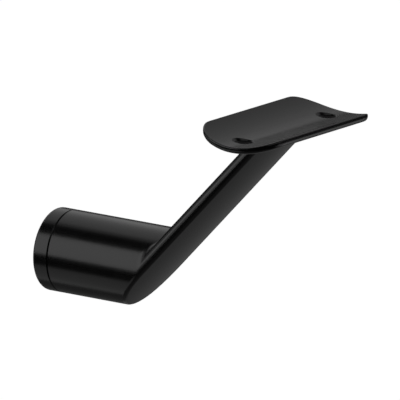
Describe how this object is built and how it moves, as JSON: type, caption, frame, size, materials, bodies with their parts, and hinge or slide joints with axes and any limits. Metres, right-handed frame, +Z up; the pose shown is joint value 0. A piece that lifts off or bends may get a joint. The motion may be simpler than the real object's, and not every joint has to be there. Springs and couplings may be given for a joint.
{
  "type": "handrail bracket",
  "caption": "Wall bracket for a round handrail: standoff barrel on a matching disc, flat arm rising at a slant to a concave saddle drilled for rail screws.",
  "frame": {"origin": "centre of the wall disc's back face, on the axis of the wall screw's hole", "axes": "+X away from the wall along the standoff barrel, +Y along the rail, +Z up"},
  "size_m": [0.0922, 0.063, 0.0649],
  "materials": {
    "black_coat": "satin black powder coat on a zinc casting",
    "black_coat_disc": "satin black powder coat on turned steel",
    "black_oxide": "black oxide on hardened steel"
  },
  "bodies": {
    "root": {"bracket_body": "black_coat", "wall_disc": "black_coat_disc", "grub_screw": "black_oxide"}
  },
  "joints": []
}
